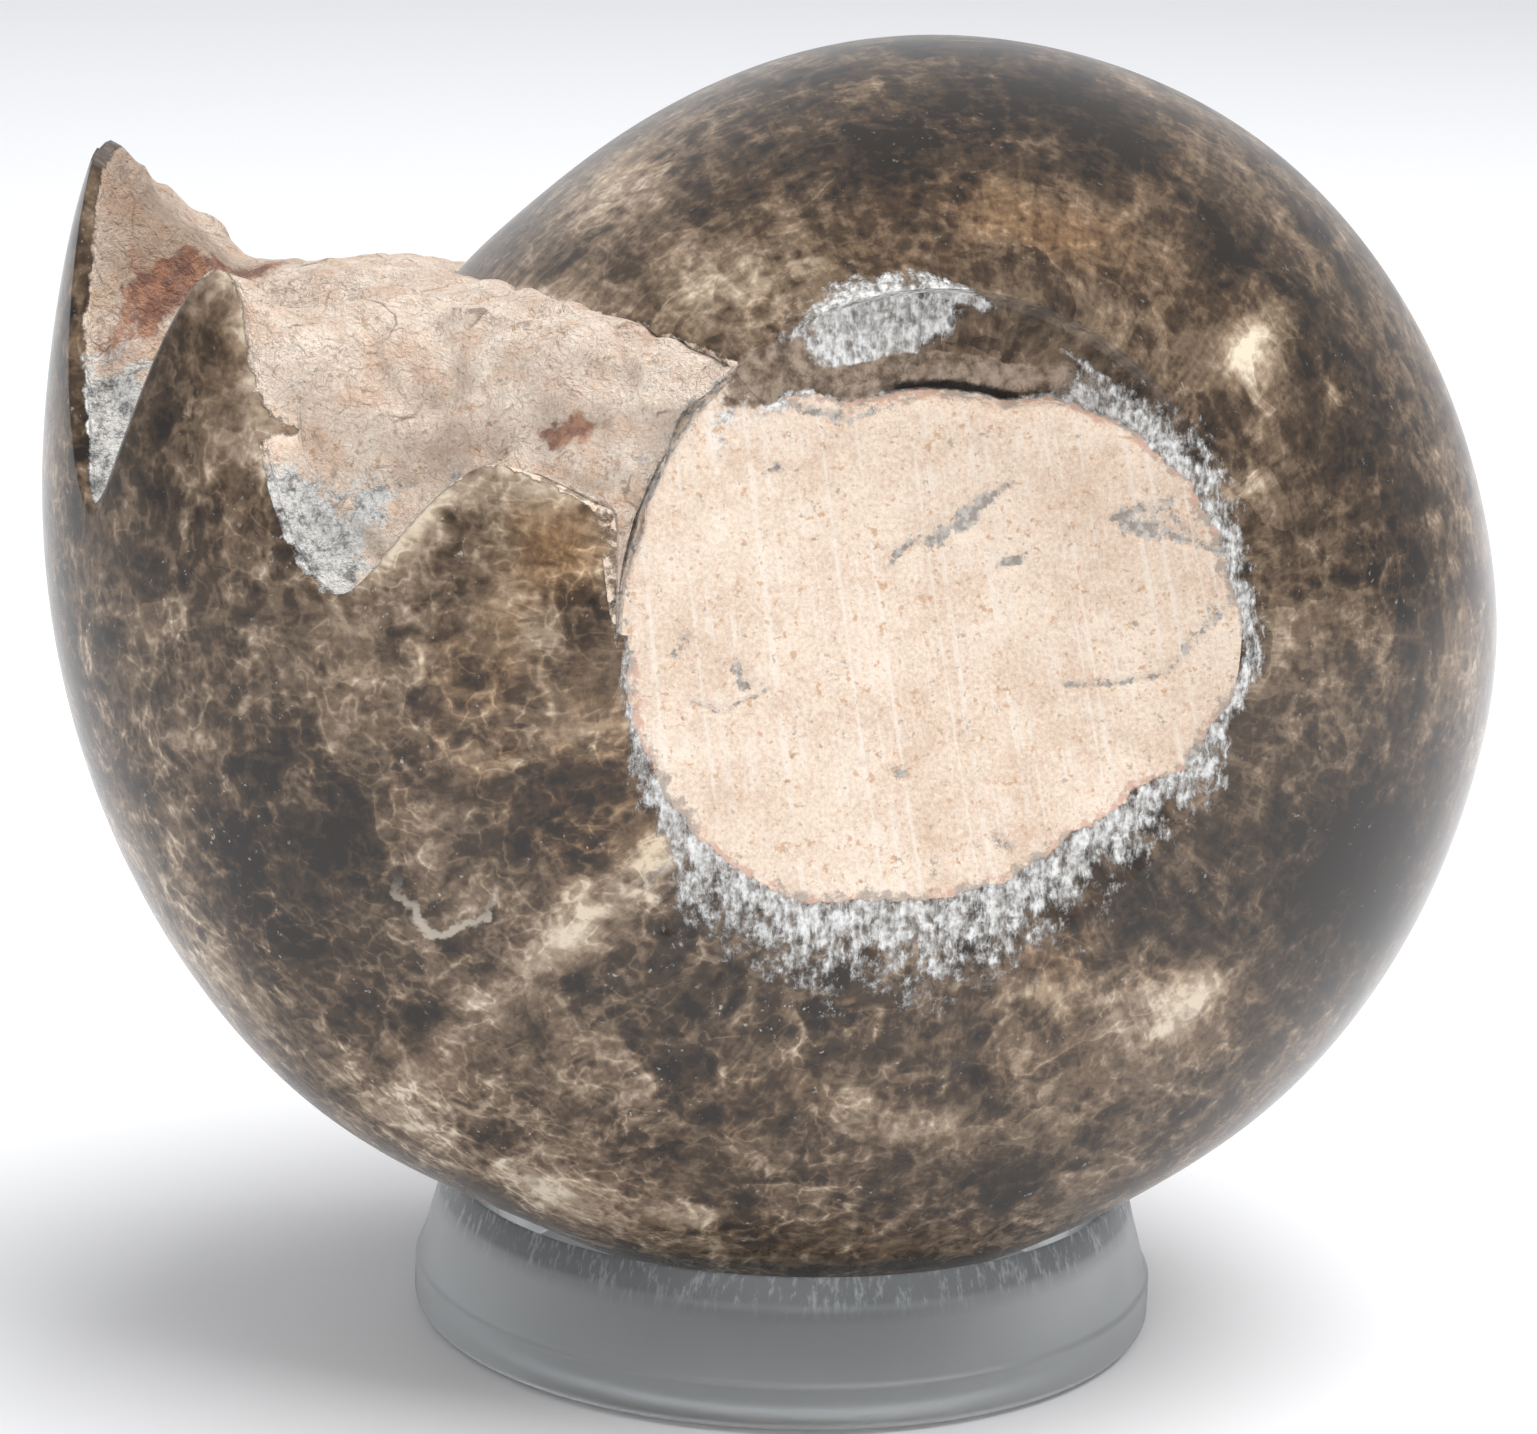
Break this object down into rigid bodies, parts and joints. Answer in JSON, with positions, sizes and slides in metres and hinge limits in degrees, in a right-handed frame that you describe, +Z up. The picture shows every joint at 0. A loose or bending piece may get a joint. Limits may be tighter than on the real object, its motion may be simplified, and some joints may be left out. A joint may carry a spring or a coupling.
{
  "type": "ammonite fossil on a ring stand",
  "caption": "Polished vascoceras ammonite in brown calcite with sawn umbilical flats and a broken septal end, resting upright on a clear acrylic ring stand.",
  "frame": {"origin": "on the surface that the ring stands on, under the middle of the whole part's bounding box", "axes": "+X along the coil, away from its broken end; +Y along the coil axis, away from the flat that the picture shows; +Z up"},
  "size_m": [0.1002, 0.0682, 0.0898],
  "materials": {
    "polished_calcite": "polished brown calcite with pale limestone matrix in the flats and the broken end",
    "clear_acrylic": "clear, softly worn"
  },
  "bodies": {
    "root": {"ammonite": "polished_calcite", "ring_stand": "clear_acrylic"}
  },
  "joints": []
}
